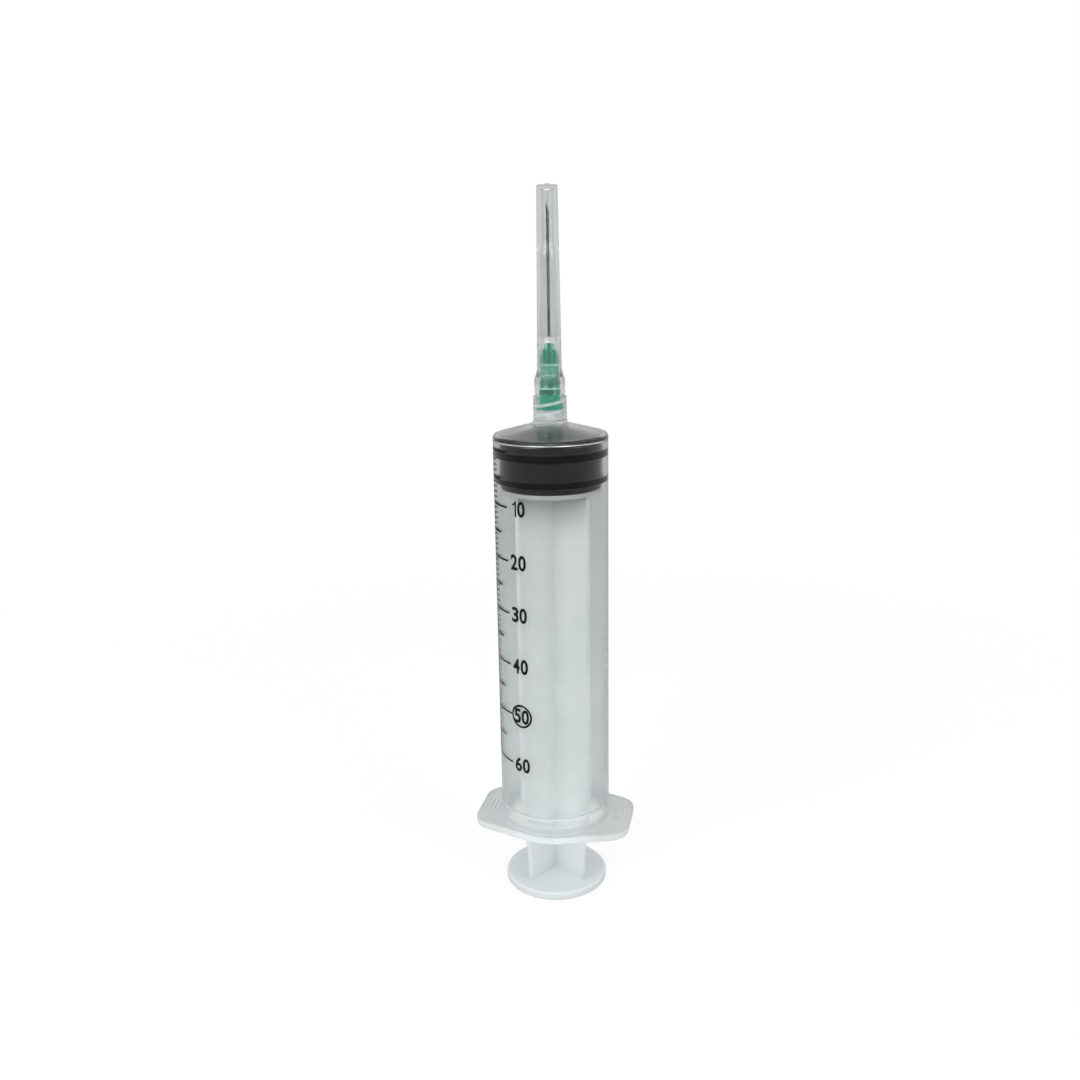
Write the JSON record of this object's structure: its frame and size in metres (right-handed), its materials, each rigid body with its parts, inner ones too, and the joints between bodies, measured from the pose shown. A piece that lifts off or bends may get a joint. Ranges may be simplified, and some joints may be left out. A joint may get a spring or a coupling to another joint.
{
  "type": "luer lock syringe",
  "caption": "Disposable syringe with a luer lock tip, rubber stopper, sliding plunger rod, finger flange, screw-on hypodermic needle and pull-off needle cap.",
  "frame": {"origin": "centre of the underside of the thumb rest, on the surface that the syringe stands on", "axes": "+Z along the barrel towards the needle, X along the long way of the finger flange"},
  "size_m": [0.0454, 0.0334, 0.2001],
  "materials": {
    "barrel_plastic": "clear moulded polypropylene, glossy, slightly hazy",
    "stopper_rubber": "black moulded rubber with a silicone film",
    "rod_plastic": "milky translucent moulded polypropylene",
    "hub_plastic": "green translucent moulded polypropylene",
    "bond_adhesive": "cured clear adhesive, faintly pink",
    "needle_steel": "drawn stainless tube, siliconed",
    "cap_plastic": "clear moulded plastic, glossy"
  },
  "bodies": {
    "barrel": {"barrel": "barrel_plastic"},
    "stopper": {"stopper": "stopper_rubber"},
    "plunger_rod": {"plunger_rod": "rod_plastic"},
    "bond_bead": {"bond_bead": "bond_adhesive"},
    "needle": {"needle_hub": "hub_plastic", "cannula": "needle_steel"},
    "needle_cap": {"needle_cap": "cap_plastic"}
  },
  "joints": [
    {"name": "plunger_slide", "type": "slide", "parent": "barrel", "child": "stopper", "axis": [0, 0, -1], "range_m": [0, 0.093]},
    {"name": "rod_turn", "type": "hinge", "parent": "stopper", "child": "plunger_rod", "pos_m": [0, 0, 0.1204], "axis": [0, 0, 1], "continuous": true},
    {"name": "needle_lift", "type": "slide", "parent": "barrel", "child": "bond_bead", "axis": [0, 0, 1], "range_m": [0, 0.00444]},
    {"name": "needle_turn", "type": "hinge", "parent": "bond_bead", "child": "needle", "pos_m": [0, 0, 0.1416], "axis": [0, 0, 1], "range_deg": [0, 320]},
    {"name": "cap_pull", "type": "slide", "parent": "needle", "child": "needle_cap", "axis": [0, 0, 1], "range_m": [0, 0.06]}
  ],
  "couplings": [
    {"joint": "needle_turn", "follows": "needle_lift", "rad_per_m": 1256.6}
  ]
}
